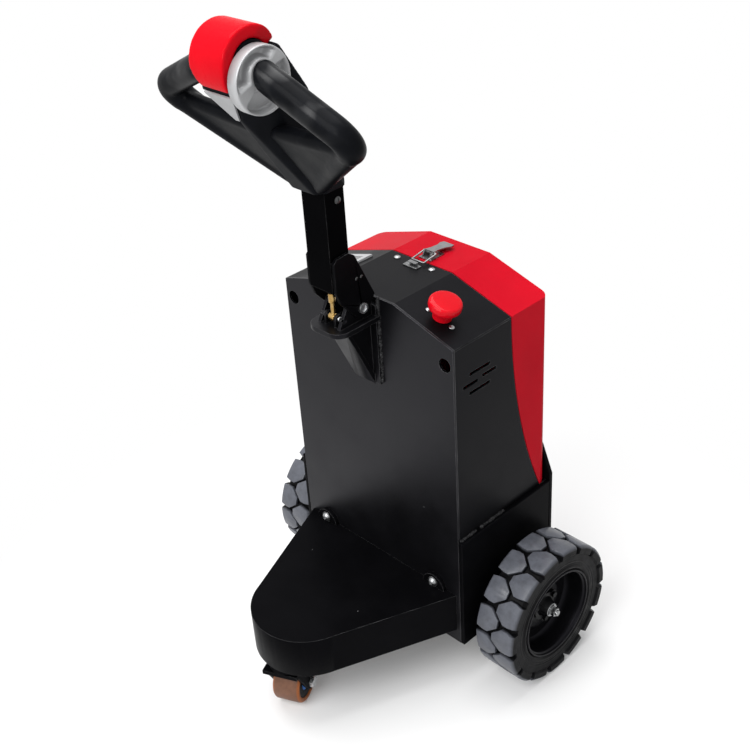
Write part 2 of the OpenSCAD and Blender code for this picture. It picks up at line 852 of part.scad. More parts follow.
module castor_core() {
    on_swivel() color(BLACK) translate([0, -castor_trail, castor_r]) rotate([0, 90, 0])
        difference() {
            translate([0, 0, -castor_w / 2 + 2]) cylinder(h = castor_w - 4, r = castor_r - 9.3);
            translate([0, 0, -castor_w]) cylinder(h = 2 * castor_w, r = 6.06);
            for (s = [-1, 1])
                translate([0, 0, s * castor_w / 2]) cylinder(h = 12, r = 17.5, center = true);
        }
}

// Bearing seals in the core
module castor_seals() {
    on_swivel() color([0.1, 0.25, 0.6]) translate([0, -castor_trail, castor_r]) rotate([0, 90, 0])
        for (s = [-1, 1])
            translate([0, 0, s * (castor_w / 2 - 4.4)]) difference() {
                cylinder(h = 3, r = 17.2, center = true);
                cylinder(h = 4, r = 8.5, center = true);
            }
}

module castor_axle() {
    h = castor_w / 2 + 7;
    on_swivel() color(STEEL) union() {
        rod_x(-h, h, -castor_trail, castor_r, 6);
        for (s = [-1, 1])
            translate([s * h, -castor_trail, castor_r]) rotate([0, s * 90, 0])
                cylinder(h = 7, r = 10, $fn = 6);
    }
}

front_panel();
top_cover();
side_panel_left();
side_panel_right();
chassis_side_left();
chassis_side_right();
rear_plate();
floor_plate();
battery_tray();
battery_pack();
transaxle();
axle_tubes();
nose_shell();
nose_floor();
nose_ears();
nose_bolts();
castor_plate();
tiller_bracket();
pivot_bolt();
estop_button();
display_panel();
display_window();
cover_screws();
latch_strike();
tow_jaw();
tow_bolts();
tow_pin();
tiller_fork();
tiller_screws();
tiller_tube();
head_body();
head_insert();
grip_loops();
safety_cap();
thumb_knobs();
gas_spring();
hood_shell();
hood_latch();
tyre_left();
tyre_right();
rim_left();
rim_right();
hub_left();
hub_right();
castor_fork();
castor_tread();
castor_core();
castor_seals();
castor_axle();
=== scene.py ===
import json
import math

import bmesh
import bpy
from bpy.props import FloatProperty, FloatVectorProperty, IntProperty, PointerProperty
from mathutils import Matrix, Vector


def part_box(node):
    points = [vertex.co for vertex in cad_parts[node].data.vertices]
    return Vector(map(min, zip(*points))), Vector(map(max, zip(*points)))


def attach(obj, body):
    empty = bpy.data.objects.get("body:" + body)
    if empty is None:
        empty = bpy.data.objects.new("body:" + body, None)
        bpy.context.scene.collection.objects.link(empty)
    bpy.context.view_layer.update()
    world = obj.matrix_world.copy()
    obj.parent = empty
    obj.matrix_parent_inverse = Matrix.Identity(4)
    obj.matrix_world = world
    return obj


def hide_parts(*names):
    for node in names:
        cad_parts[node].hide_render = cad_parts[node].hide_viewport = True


bl_info = {
    "name": "Electric tow tractor",
    "version": (1, 0, 0),
    "blender": (4, 5, 0),
    "location": "View3D > Sidebar > Tow tractor",
    "description": "Finishes, welds and studio for a walk-behind electric tow tractor",
    "category": "Object",
}

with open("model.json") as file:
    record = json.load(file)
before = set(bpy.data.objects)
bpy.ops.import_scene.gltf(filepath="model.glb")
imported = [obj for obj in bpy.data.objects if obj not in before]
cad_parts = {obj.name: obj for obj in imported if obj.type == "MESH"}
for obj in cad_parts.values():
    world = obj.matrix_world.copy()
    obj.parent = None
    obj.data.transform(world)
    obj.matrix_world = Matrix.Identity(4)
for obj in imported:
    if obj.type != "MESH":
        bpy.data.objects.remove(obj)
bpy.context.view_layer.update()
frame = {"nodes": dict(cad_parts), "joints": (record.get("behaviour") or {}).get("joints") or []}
nodes = frame["nodes"]
joints = {joint["name"]: joint for joint in frame["joints"]}

MM = 0.001
SIDES = (("left", -1), ("right", 1))


def colour(name, description, default):
    """A colour that a user would change."""
    return FloatVectorProperty(
        name=name, description=description, subtype="COLOR", size=3, min=0, max=1, default=default
    )


def length(name, description, default):
    """A size in metres that a user would change."""
    return FloatProperty(name=name, description=description, default=default, min=0, unit="LENGTH")


def angle(name, description, degrees):
    """An angle that a user would change, given here in degrees."""
    return FloatProperty(name=name, description=description, default=math.radians(degrees), unit="ROTATION")


def watts(name, description, default):
    """The power of a lamp."""
    return FloatProperty(name=name, description=description, default=default, min=0, unit="POWER")


def fraction(name, description, default):
    """A level from 0 to 1."""
    return FloatProperty(name=name, description=description, default=default, min=0, max=1)


def number(name, description, default, least):
    """A whole number that a user would change."""
    return IntProperty(name=name, description=description, default=default, min=least)


class TractorLooks(bpy.types.PropertyGroup):
    """Colours and small sizes of the finishes."""

    black: colour("Black coat", "Powder coat of the sheet steel", (0.0022, 0.0022, 0.0026))
    bare: colour("Bare steel", "Steel where the coat has worn off", (0.42, 0.42, 0.43))
    red: colour("Hood red", "Paint of the hood", (0.48, 0.005, 0.015))
    signal: colour("Signal red", "Plastic of the stop button and the cap", (0.56, 0.003, 0.01))
    moulded: colour("Moulded black", "Plastic of the tiller head", (0.004, 0.0044, 0.0056))
    rubber: colour("Tyre black", "Rubber in the grooves and sidewalls", (0.003, 0.003, 0.0035))
    # Lug-top grey: scuffed rubber, whose bluish tint is a painted sheen
    worn: colour("Worn tread", "Rubber on top of the lugs", (0.108, 0.114, 0.134))
    silver: colour("Silver", "Thumb knob, insert of the head and indicator panel", (0.47, 0.475, 0.485))
    zinc: colour("Zinc", "Plated fasteners", (0.6, 0.61, 0.62))
    tread: colour("Castor tread", "Cast polyurethane", (0.13, 0.062, 0.038))
    cast: colour("Castor side", "Cast polyurethane at the sides of the tread", (0.3, 0.09, 0.022))
    arm_height: length("Arm height", "Height above the floor from which the grips are polished", 1.06)
    edge: length("Sheet edge", "Rounding of sheet and plate edges", 0.0009)
    wear: length("Worn edge", "Width of the worn line along an edge", 0.0009)
    bead: length("Weld bead", "Half width of a weld bead", 0.0035)
    ripple: length("Weld ripple", "Pitch of the ripples in a bead", 0.0042)
    sides: number("Bead sides", "Sides round a weld bead", 8, 5)


class TractorKnob(bpy.types.PropertyGroup):
    """Form of the thumb knob's outer face."""

    lean: angle("Lean", "Lean of the tiller head", 33)
    dish: length("Dish", "Depth of the two dishes", 0.0145)
    rim: length("Rim", "Width of the run from the rim into a dish", 0.006)
    arm: length("Landing", "Radius of the arm's landing", 0.0205)
    landing: FloatVectorProperty(
        name="Landing place",
        description="Arm's landing from the middle, back and up",
        size=2,
        unit="LENGTH",
        default=(0.0037, 0.0069),
    )
    fan: angle("Ridge", "Half angle of the ridge between the dishes", 32)
    rings: number("Rings", "Rings of faces from the middle to the rim", 30, 8)
    spokes: number("Spokes", "Faces round the knob", 120, 24)


class TractorStop(bpy.types.PropertyGroup):
    """Form of the stop button."""

    lean: angle("Lean", "Lean of the button, as the slope under it", 17.3)
    waist: length("Widest place", "Height of the solid's widest ring above its foot", 0.025)
    spokes: number("Spokes", "Faces round the button before smoothing", 32, 12)


class TractorStage(bpy.types.PropertyGroup):
    """Camera and light."""

    place: FloatVectorProperty(
        name="Camera",
        description="Camera position",
        subtype="XYZ",
        unit="LENGTH",
        size=3,
        default=(1.2097, -1.1133, 1.5813),
    )
    azimuth: angle("Azimuth", "Camera round the object", 47.44)
    elevation: angle("Elevation", "Camera above the horizon", 31.88)
    roll: angle("Roll", "Camera turned about its axis", -4.04)
    lens: FloatProperty(
        name="Lens", description="Focal length in millimetres", default=56.78, min=1, unit="CAMERA"
    )
    key: watts("Key light", "Power of the key light", 118)
    fill: watts("Fill light", "Power of the fill light", 5)
    top: watts("Top light", "Power of the top light", 92)
    world: fraction("Room light", "Strength of the room light", 0.4)
    floor: fraction("Floor", "Grey level of the floor", 0.9)
    glow: fraction("Floor glow", "Share of plain white near the object", 0.1)
    near: length("Shadow reach", "Distance up to which the floor keeps its full shadow", 0.3)
    far: length("White reach", "Distance from which the floor is plain white", 0.85)


class Value:
    """A shader socket that takes part in Python sums."""

    def __init__(self, tree, socket):
        self.tree = tree
        self.socket = socket

    def math(self, operation, other=None, swap=False):
        """A Math node on this value alone, or on this value and another."""
        pair = [self] if other is None else [other, self] if swap else [self, other]
        return self.tree.node("ShaderNodeMath", {"operation": operation}, dict(enumerate(pair)))

    def __add__(self, other):
        return self.math("ADD", other)

    def __sub__(self, other):
        return self.math("SUBTRACT", other)

    def __rsub__(self, other):
        return self.math("SUBTRACT", other, True)

    def __mul__(self, other):
        return self.math("MULTIPLY", other)

    def __gt__(self, other):
        return self.math("GREATER_THAN", other)

    def __lt__(self, other):
        return self.math("LESS_THAN", other)

    def __abs__(self):
        return self.math("ABSOLUTE")

    __radd__ = __add__
    __rmul__ = __mul__


class Tree:
    """A node tree, all of whose nodes come from one method."""

    # Places of the colour sockets on a Mix node
    FIRST, SECOND, RESULT = 6, 7, 2

    def __init__(self, tree):
        self.tree = tree

    def node(self, kind, settings=None, sockets=None, output=0):
        """Any node: its settings first, then the values or links of its sockets."""
        made = self.tree.nodes.new(kind)
        for key, value in (settings or {}).items():
            setattr(made, key, value)
        for key, value in (sockets or {}).items():
            self.feed(made.inputs[key], value)
        return Value(self, made.outputs[output]) if made.outputs else None

    def feed(self, socket, value):
        """A value or a link for one socket."""
        if isinstance(value, Value):
            self.tree.links.new(value.socket, socket)
        elif socket.type == "RGBA" and len(value) == 3:
            socket.default_value = (*value, 1)
        else:
            socket.default_value = value

    def place(self):
        """Position on the object, in metres."""
        return self.node("ShaderNodeTexCoord", output="Object")

    def axes(self, vector):
        """The three parts of a vector."""
        first = self.node("ShaderNodeSeparateXYZ", None, {0: vector})
        return [Value(self, socket) for socket in first.socket.node.outputs]

    def vector(self, operation, first, second=None, output="Vector"):
        """Maths on vectors. A length or a product comes out of Value."""
        sockets = {0: first} if second is None else {0: first, 1: second}
        return self.node("ShaderNodeVectorMath", {"operation": operation}, sockets, output)

    def ramp(self, value, low, high, start=0.0, end=1.0):
        """A value stretched from low..high to start..end, held at both ends."""
        return self.node(
            "ShaderNodeMapRange",
            {"clamp": True},
            {"Value": value, "From Min": low, "From Max": high, "To Min": start, "To Max": end},
        )

    def mix(self, share, first, second):
        """Two colours mixed."""
        sockets = {0: share, self.FIRST: first, self.SECOND: second}
        return self.node("ShaderNodeMix", {"data_type": "RGBA"}, sockets, self.RESULT)

    def shade(self, base, level):
        """A colour times a varying brightness."""
        grey = self.node("ShaderNodeCombineColor", None, {"Red": level, "Green": level, "Blue": level})
        settings = {"data_type": "RGBA", "blend_type": "MULTIPLY"}
        sockets = {0: 1.0, self.FIRST: base, self.SECOND: grey}
        return self.node("ShaderNodeMix", settings, sockets, self.RESULT)

    def seen(self):
        """1 for rays that show the backdrop: from the camera, or by gloss or glass."""
        rays = ("Is Camera Ray", "Is Glossy Ray", "Is Transmission Ray")
        camera, gloss, glass = (self.node("ShaderNodeLightPath", output=name) for name in rays)
        return camera.math("MAXIMUM", gloss).math("MAXIMUM", glass)


class Finish(Tree):
    """One procedural material, built on a Principled shader."""

    def __init__(self, name, **constants):
        self.material = bpy.data.materials.new(name)
        self.material.use_nodes = True
        super().__init__(self.material.node_tree)
        self.shader = self.tree.nodes["Principled BSDF"]
        for socket, value in constants.items():
            self.set(socket.replace("_", " ").title().replace("Ior", "IOR"), value)

    def set(self, socket, value):
        """A value or a link for a socket of the shader."""
        self.feed(self.shader.inputs[socket], value)

    def noise(self, scale, detail=3.0, roughness=0.55):
        """Cloudy noise, its scale in features a metre."""
        sockets = {"Vector": self.place(), "Scale": scale, "Detail": detail, "Roughness": roughness}
        return self.node("ShaderNodeTexNoise", None, sockets)

    def edges(self, radius):
        """1 along the edges of the piece, 0 on its faces."""
        rounded = self.node("ShaderNodeBevel", {"samples": 4}, {"Radius": radius})
        plain = self.node("ShaderNodeNewGeometry", output="Normal")
        return self.ramp(self.vector("DOT_PRODUCT", rounded, plain, "Value"), 0.985, 0.9)

    def bump(self, height, distance, strength=1.0, rounded=0.0):
        """Relief from a height, on edges that look rounded where a radius is given."""
        sockets = {"Height": height, "Distance": distance, "Strength": strength}
        if rounded:
            sockets["Normal"] = self.node("ShaderNodeBevel", {"samples": 6}, {"Radius": rounded})
        self.set("Normal", self.node("ShaderNodeBump", None, sockets))


made_finishes = {}


def made_once(maker):
    """Each finish is made once and shared."""

    def once(*args):
        key = (maker.__name__, *args)
        if key not in made_finishes:
            made_finishes[key] = maker(*args)
        return made_finishes[key]

    return once


def looks():
    """The colours and small sizes as they are set now."""
    return bpy.context.scene.tractor_looks


def times(factor, base):
    """A colour made brighter or darker all over."""
    return [factor * part for part in base]


# Shine and brightness of the black coat on each kind of part
GLOSS = {
    "sheet": (0.068, 1.0),
    "front": (0.21, 1.0),
    "plate": (0.02, 1.0),
    "bracket": (0.16, 1.0),
    "rim": (0.12, 1.0),
    "tube": (0.005, 0.5),
}
# Brightness of zinc, from new to blackened
ZINC = {"bright": 1.0, "mid": 0.6, "dull": 0.42, "dark": 0.12}
# Where the zinc nut begins, outward of the middle of a drive wheel
NUT_FROM = 23.4 * MM
# Where the gas spring's dark rod begins, above its lowest point
ROD_FROM = 48 * MM
# Height over which the polish of the grips sets in
POLISH_RUN = 30 * MM
# Pitch of the rings moulded into a tyre's sidewall
RING_PITCH = 5.5 * MM


@made_once
def black_coat(gloss):
    """Black powder coat: faint orange peel, dust, specks and a worn line along the edges."""
    look = looks()
    sheen, tone = GLOSS[gloss]
    coat = times(tone, look.black)
    made = Finish(f"black_coat_{gloss}", specular_ior_level=sheen, specular_tint=(0.87, 0.85, 1.0))
    dust = made.noise(14, 5, 0.6)
    worn = made.edges(look.wear) * made.ramp(made.noise(30, 3, 0.5), 0.35, 0.65, 0.04, 0.3)
    cells = {"Vector": made.place(), "Scale": 34.0}
    near = made.node("ShaderNodeTexVoronoi", None, cells, "Distance") < 0.028
    few = made.axes(made.node("ShaderNodeTexVoronoi", None, cells, "Color"))[0] > 0.74
    base = made.mix(made.ramp(dust, 0.4, 0.75, 0, 0.35), coat, times(2.2, coat))
    base = made.mix(near * few * 0.5, base, look.bare)
    made.set("Base Color", made.mix(worn, base, look.bare))
    made.set("Metallic", worn * 0.6)
    made.set("Roughness", made.ramp(dust, 0.3, 0.75, 0.3, 0.46))
    made.bump(made.noise(900, 2), 0.00012, 0.5, look.edge)
    return made.material


@made_once
def red_coat():
    """Red hood paint under a thin clear coat."""
    look = looks()
    made = Finish("red_coat", coat_roughness=0.12, specular_ior_level=0.01)
    tone = made.noise(9, 4)
    made.set("Base Color", made.shade(look.red, made.ramp(tone, 0.3, 0.7, 0.9, 1.05)))
    made.set("Roughness", made.ramp(tone, 0.3, 0.7, 0.3, 0.4))
    made.set("Coat Weight", made.ramp(made.noise(40, 3), 0.3, 0.7, 0.02, 0.045))
    made.bump(made.noise(700, 2), 0.0001, 0.4)
    return made.material


@made_once
def signal_red(coat):
    """Red plastic with faint handling marks, under a gloss of the given weight."""
    look = looks()
    made = Finish(f"signal_red_{coat}", coat_roughness=0.06, specular_ior_level=0.01)
    marks = made.noise(160, 4, 0.65)
    made.set("Base Color", made.shade(look.signal, made.ramp(made.noise(22, 3), 0.3, 0.7, 0.93, 1.04)))
    made.set("Roughness", made.ramp(marks, 0.35, 0.7, 0.24, 0.38))
    made.set("Coat Weight", made.ramp(marks, 0.35, 0.7, coat, 0.6 * coat))
    made.bump(made.noise(1300, 2), 0.00005, 0.5)
    return made.material


@made_once
def moulded_black():
    """Moulded black plastic with a fine spark-eroded grain."""
    look = looks()
    made = Finish("moulded_black", specular_ior_level=0.03)
    grain = made.node("ShaderNodeTexVoronoi", None, {"Vector": made.place(), "Scale": 1500.0})
    tone = made.noise(18, 4)
    made.set("Base Color", made.shade(look.moulded, made.ramp(tone, 0.3, 0.7, 0.8, 1.7)))
    made.set("Roughness", made.ramp(tone, 0.3, 0.7, 0.42, 0.56))
    made.bump(grain, 0.00008, 0.6)
    return made.material


@made_once
def soft_grip():
    """Soft black grip rubber, a little polished by hands."""
    look = looks()
    made = Finish("soft_grip", specular_ior_level=0.03, coat_roughness=0.2)
    tone = made.noise(26, 5, 0.6)
    made.set("Base Color", made.shade(look.moulded, made.ramp(tone, 0.3, 0.7, 0.65, 1.3)))
    made.set("Roughness", made.ramp(tone, 0.3, 0.7, 0.32, 0.46))
    height = made.axes(made.place())[2]
    arms = made.ramp(height, look.arm_height, look.arm_height + POLISH_RUN)
    made.set("Coat Weight", arms * made.ramp(made.noise(16, 2), 0.46, 0.68, 0.03, 0.6))
    made.bump(made.noise(1100, 2), 0.0001, 0.5)
    return made.material


@made_once
def silver_paint(level):
    """Silver painted plastic with a fine flake, at a brightness."""
    look = looks()
    made = Finish(f"silver_paint_{level}")
    flake = made.noise(2600, 1)
    smudge = made.noise(45, 4)
    made.set("Base Color", made.shade(look.silver, made.ramp(flake, 0.3, 0.7, 0.9 * level, 1.06 * level)))
    made.set("Metallic", made.ramp(flake, 0.3, 0.7, 0.1, 0.3))
    made.set("Roughness", made.ramp(smudge, 0.3, 0.7, 0.34, 0.46))
    made.bump(flake, 0.00003, 0.4)
    return made.material


@made_once
def zinc_plate(level):
    """Zinc with a cloudy tone and light scratches, at a brightness by name."""
    look = looks()
    made = Finish(f"zinc_plate_{level}")
    cloud = made.noise(120, 5, 0.65)
    tone = ZINC[level]
    made.set("Base Color", made.shade(look.zinc, made.ramp(cloud, 0.3, 0.7, 0.75 * tone, 1.1 * tone)))
    made.set("Metallic", made.ramp(cloud, 0.2, 0.5, 0.9, 1.0))
    made.set("Roughness", made.ramp(cloud, 0.3, 0.7, 0.24, 0.42))
    made.bump(made.noise(2200, 2), 0.00004, 0.5)
    return made.material


@made_once
def plated_brass():
    """Yellow passivated end of the gas spring, with its dark rod above."""
    made = Finish("plated_brass")
    rod = made.axes(made.place())[2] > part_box("gas_spring")[0][2] + ROD_FROM
    cloud = made.noise(160, 4)
    brass = made.mix(made.ramp(cloud, 0.3, 0.7), (0.4, 0.24, 0.07), (0.6, 0.42, 0.17))
    made.set("Base Color", made.mix(rod, brass, (0.03, 0.03, 0.032)))
    made.set("Metallic", made.ramp(cloud, 0.2, 0.5, 0.9, 1.0))
    made.set("Roughness", made.ramp(cloud, 0.3, 0.7, 0.22, 0.36))
    return made.material


@made_once
def dark_casting():
    """Dark painted casting with sand texture and a film of dust."""
    made = Finish("dark_casting")
    sand = made.noise(420, 4, 0.7)
    dust = made.noise(20, 4)
    film = made.ramp(dust, 0.35, 0.75, 0, 0.6)
    made.set("Base Color", made.mix(film, (0.03, 0.03, 0.032), (0.09, 0.085, 0.08)))
    made.set("Roughness", made.ramp(dust, 0.3, 0.7, 0.42, 0.65))
    made.bump(sand, 0.0005, 0.6)
    return made.material


@made_once
def hub_steel(side):
    """Black hub casting whose outer end, with nut and washer, is zinc."""
    look = looks()
    made = Finish(f"hub_steel_{side}", specular_ior_level=0.12)
    across = made.axes(made.place())[0] * (1.0 if side == "right" else -1.0)
    joint = joints[f"{side}_wheel_spin"]
    nut = across > abs(joint["pos_m"][0]) + NUT_FROM
    cloud = made.noise(130, 4)
    zinc = made.shade(look.zinc, made.ramp(cloud, 0.3, 0.7, 0.4, 0.65))
    paint = made.shade(look.black, made.ramp(cloud, 0.3, 0.7, 1.0, 2.4))
    made.set("Base Color", made.mix(nut, paint, zinc))
    made.set("Metallic", nut)
    made.set("Roughness", made.ramp(cloud, 0.3, 0.7, 0.26, 0.4))
    return made.material


@made_once
def tyre_rubber(side):
    """Solid rubber: dark in the grooves, grey and scuffed on the lug tops with a painted bluish sheen,
    ringed sidewall.
    """
    look = looks()
    made = Finish(f"tyre_rubber_{side}", specular_ior_level=0.06, coat_roughness=0.24)
    joint = joints[f"{side}_wheel_spin"]
    x, y, z = made.axes(made.place())
    off_y = y - joint["pos_m"][1]
    off_z = z - joint["pos_m"][2]
    radius = (off_y * off_y + off_z * off_z).math("SQRT")
    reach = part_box(f"tyre_{side}")[1][2] - joint["pos_m"][2]
    scuff = made.noise(70, 4, 0.6)
    top = made.ramp(radius, reach - 6 * MM, reach - 0.8 * MM)
    dusty = made.ramp(scuff, 0.3, 0.65)
    grime = made.ramp(made.noise(30, 4), 0.4, 0.75, 0, 0.6)
    base = made.mix(grime, look.rubber, times(2.6, look.rubber))
    # Lug tops take the worn grey: partly scuffed rubber, partly a painted bluish sheen
    made.set("Base Color", made.mix(top * (0.68 + 0.32 * dusty), base, look.worn))
    made.set("Coat Weight", top * made.ramp(scuff, 0.3, 0.65, 0.6, 0.25))
    made.set("Roughness", made.ramp(dusty, 0, 1, 0.34, 0.5))
    wall = made.ramp(radius, reach - 30 * MM, reach - 26 * MM, 1, 0)
    rings = (radius * (2 * math.pi / RING_PITCH)).math("SINE") * wall
    off_x = abs(abs(x) - abs(joint["pos_m"][0]))
    seam = made.ramp(off_x, 0.4 * MM, 0.9 * MM, 1, 0)
    made.bump(scuff * 0.35 + rings * 0.6 + seam * 0.8, 0.0006, 0.7)
    return made.material


@made_once
def castor_rubber():
    """Cast polyurethane, brown on its scuffed rolling face and orange at the sides."""
    look = looks()
    made = Finish("castor_rubber", specular_ior_level=0.2)
    roll = joints["castor_roll"]
    middle, axle = Vector(roll["pos_m"]), Vector(roll["axis"])
    half = max(abs((v.co - middle).dot(axle)) for v in nodes["castor_tread"].data.vertices)
    offset = made.vector("SUBTRACT", made.place(), middle)
    along = abs(made.vector("DOT_PRODUCT", offset, axle, "Value"))
    side = made.ramp(along, 0.8 * half, 0.95 * half)
    scuff = made.noise(90, 5, 0.65)
    rolled = made.mix(made.ramp(scuff, 0.35, 0.7), look.tread, times(1.5, look.tread))
    made.set("Base Color", made.mix(side, rolled, look.cast))
    made.set("Roughness", made.ramp(scuff, 0.3, 0.7, 0.34, 0.58))
    made.bump(scuff, 0.0003, 0.5)
    return made.material


@made_once
def castor_iron():
    """Black painted castor core."""
    look = looks()
    made = Finish("castor_iron", specular_ior_level=0.08)
    cloud = made.noise(150, 4)
    made.set("Base Color", made.shade(look.black, made.ramp(cloud, 0.3, 0.7, 1.2, 3.2)))
    made.set("Roughness", made.ramp(cloud, 0.3, 0.7, 0.35, 0.55))
    made.bump(cloud, 0.0003, 0.5)
    return made.material


@made_once
def blue_seal():
    """Blue moulded bearing seal, cloudy from handling."""
    made = Finish("blue_seal")
    cloud = made.noise(220, 4)
    made.set("Base Color", made.mix(made.ramp(cloud, 0.3, 0.7), (0.01, 0.13, 0.5), (0.03, 0.2, 0.62)))
    made.set("Roughness", made.ramp(cloud, 0.3, 0.7, 0.34, 0.5))
    return made.material


@made_once
def smoked_window():
    """Smoked window with faint wipe marks."""
    made = Finish("smoked_window", coat_roughness=0.04)
    wipe = made.noise(70, 5, 0.7)
    made.set("Base Color", made.mix(made.ramp(wipe, 0.4, 0.7), (0.006, 0.006, 0.009), (0.02, 0.02, 0.026)))
    made.set("Roughness", made.ramp(wipe, 0.3, 0.7, 0.08, 0.22))
    made.set("Coat Weight", made.ramp(wipe, 0.3, 0.7, 0.6, 0.4))
    return made.material


@made_once
def battery_case():
    """Grey moulded battery case."""
    made = Finish("battery_case")
    tone = made.noise(25, 4)
    made.set("Base Color", made.mix(made.ramp(tone, 0.3, 0.7), (0.05, 0.05, 0.055), (0.08, 0.08, 0.085)))
    made.set("Roughness", made.ramp(tone, 0.3, 0.7, 0.45, 0.6))
    made.bump(made.noise(900, 2), 0.0001, 0.5)
    return made.material


@made_once
def weld_steel():
    """Weld bead under black coat, brighter where the coat is thin."""
    look = looks()
    made = Finish("weld_steel", specular_ior_level=0.08)
    thin = made.noise(260, 4, 0.7)
    made.set("Base Color", made.mix(made.ramp(thin, 0.4, 0.75, 0, 0.5), look.black, (0.12, 0.12, 0.125)))
    made.set("Metallic", made.ramp(thin, 0.45, 0.75, 0, 0.5))
    made.set("Roughness", made.ramp(thin, 0.3, 0.7, 0.26, 0.44))
    return made.material


# Points of a CAD node closer than this are one
MERGE = 0.01 * MM
# Edges sharper than this are rounded
CREASE = math.radians(32)


def merge_points(part):
    """Joins the points that faces of a CAD node share."""
    weld = part.modifiers.new("merge", "WELD")
    weld.merge_threshold = MERGE


def dress(names, material, edge=0.0, segments=2):
    """Gives CAD nodes their finish, and rounds their edges where a width is given."""
    for name in names:
        part = nodes[name]
        part.data.materials.clear()
        part.data.materials.append(material)
        if edge:
            merge_points(part)
            bevel = part.modifiers.new("edge", "BEVEL")
            bevel.width = edge
            bevel.segments = segments
            bevel.limit_method = "ANGLE"
            bevel.angle_limit = CREASE
            bevel.use_clamp_overlap = True
            bevel.miter_outer = "MITER_ARC"
            bevel.harden_normals = True


def mould(names, material, voxel, rounds):
    """Gives CAD nodes a moulded skin whose corners and joins run into each other."""
    dress(names, material)
    for name in names:
        part = nodes[name]
        merge_points(part)
        skin = part.modifiers.new("skin", "REMESH")
        skin.mode = "VOXEL"
        skin.voxel_size = voxel
        skin.use_smooth_shade = True
        soft = part.modifiers.new("soften", "SMOOTH")
        soft.factor = 0.5
        soft.iterations = rounds


def new_piece(name, mesh, material, body):
    """A new piece from a mesh, with its finish and the body it rides on."""
    bmesh.ops.recalc_face_normals(mesh, faces=mesh.faces)
    for face in mesh.faces:
        face.smooth = True
    data = bpy.data.meshes.new(name)
    mesh.to_mesh(data)
    mesh.free()
    data.materials.append(material)
    piece = bpy.data.objects.new(name, data)
    bpy.context.scene.collection.objects.link(piece)
    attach(piece, body)
    return piece


def round_skin(mesh, rings, first_end, last_end):
    """Faces between rings of points, closed by a fan to a point at each end."""
    first_end = mesh.verts.new(first_end)
    last_end = mesh.verts.new(last_end)
    count = len(rings[0])
    for i in range(count):
        j = (i + 1) % count
        for first, second in zip(rings, rings[1:]):
            mesh.faces.new((first[i], second[i], second[j], first[j]))
        mesh.faces.new((first_end, rings[0][i], rings[0][j]))
        mesh.faces.new((last_end, rings[-1][j], rings[-1][i]))


def weld_bead(name, body, runs, outward):
    """A rippled, uneven weld bead along straight runs, lying in the corner that faces outward."""
    look = looks()
    spokes = [2 * math.pi * i / look.sides for i in range(look.sides)]
    mesh = bmesh.new()
    for start, end in runs:
        start, end = Vector(start), Vector(end)
        along = (end - start).normalized()
        up = Vector(outward).normalized()
        across = along.cross(up)
        ripples = (end - start).length / look.ripple
        steps = max(4, int(ripples * 4))
        rings = []
        for step in range(steps + 1):
            share = step / steps
            turns = 2 * math.pi * ripples * share
            ripple = 1 + 0.14 * math.sin(turns) + 0.2 * math.sin(turns / 5.3) + 0.1 * math.sin(turns / 2.3)
            swell = look.bead * ripple * (0.45 if step in (0, steps) else 1)
            middle = start.lerp(end, share)
            out = [math.cos(turn) * up + math.sin(turn) * across for turn in spokes]
            rings.append([mesh.verts.new(middle + swell * way) for way in out])
        for first, second in zip(rings, rings[1:]):
            for i in range(look.sides):
                j = (i + 1) % look.sides
                mesh.faces.new((first[i], first[j], second[j], second[i]))
        mesh.faces.new(reversed(rings[0]))
        mesh.faces.new(rings[-1])
    new_piece(name, mesh, weld_steel(), body)


def soft_step(low, high, value):
    """0 up to low, 1 from high, and a smooth run between them."""
    share = min(max((value - low) / (high - low), 0), 1)
    return share * share * (3 - 2 * share)


def knob_dish(knob, reach, back, up):
    """How deep the dish is at a place, from 0 on rim, ridges and the arm's landing to 1."""
    ridge = math.atan2(abs(up - knob.landing[1]), abs(back - knob.landing[0]))
    rim = 1 - soft_step(reach - knob.rim, reach - 0.3 * knob.rim, math.hypot(back, up))
    landing = math.hypot(back - knob.landing[0], up - knob.landing[1])
    return rim * soft_step(0.35 * knob.fan, knob.fan, ridge) * soft_step(knob.arm, 1.2 * knob.arm, landing)


def thumb_knob():
    """Thumb knob on the right arm: a disc whose outer face has two dishes, parted by a ridge."""
    knob = bpy.context.scene.tractor_knob
    low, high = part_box("thumb_knobs")
    middle = (low + high) / 2
    reach = (high.y - low.y) / 2
    back = Vector((0, math.cos(knob.lean), math.sin(knob.lean)))
    up = Vector((0, -math.sin(knob.lean), math.cos(knob.lean)))
    edge = [(reach - 0.3 * MM, high.x - 0.8 * MM), (reach, high.x - 2.2 * MM), (reach, low.x)]
    face = [(reach * step / knob.rings, None) for step in range(1, knob.rings)]
    mesh = bmesh.new()
    rings = []
    for radius, depth in face + edge:
        ring = []
        for i in range(knob.spokes):
            turn = 2 * math.pi * i / knob.spokes
            across, rise = radius * math.cos(turn), radius * math.sin(turn)
            x = high.x - knob.dish * knob_dish(knob, reach, across, rise) if depth is None else depth
            ring.append(mesh.verts.new(Vector((x, middle.y, middle.z)) + across * back + rise * up))
        rings.append(ring)
    round_skin(mesh, rings, (high.x, middle.y, middle.z), (low.x, middle.y, middle.z))
    piece = new_piece("thumb_knob", mesh, silver_paint(0.85), "tiller")
    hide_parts("thumb_knobs")


# Radius and height of the stop button's outline in millimetres, from its foot to the middle of its top
STOP_OUTLINE = (
    (16, 0.2), (15.5, 1.5), (15, 5), (14.7, 12), (15.1, 14.2), (17.4, 15.2), (22.6, 17.2), (25.4, 19.6),
    (26.6, 22.6), (26.8, 26), (26.5, 29), (25.7, 31.2), (24.1, 32.7), (21.8, 33.4), (14, 34.1), (6, 34.4),
    (0, 34.5),
)


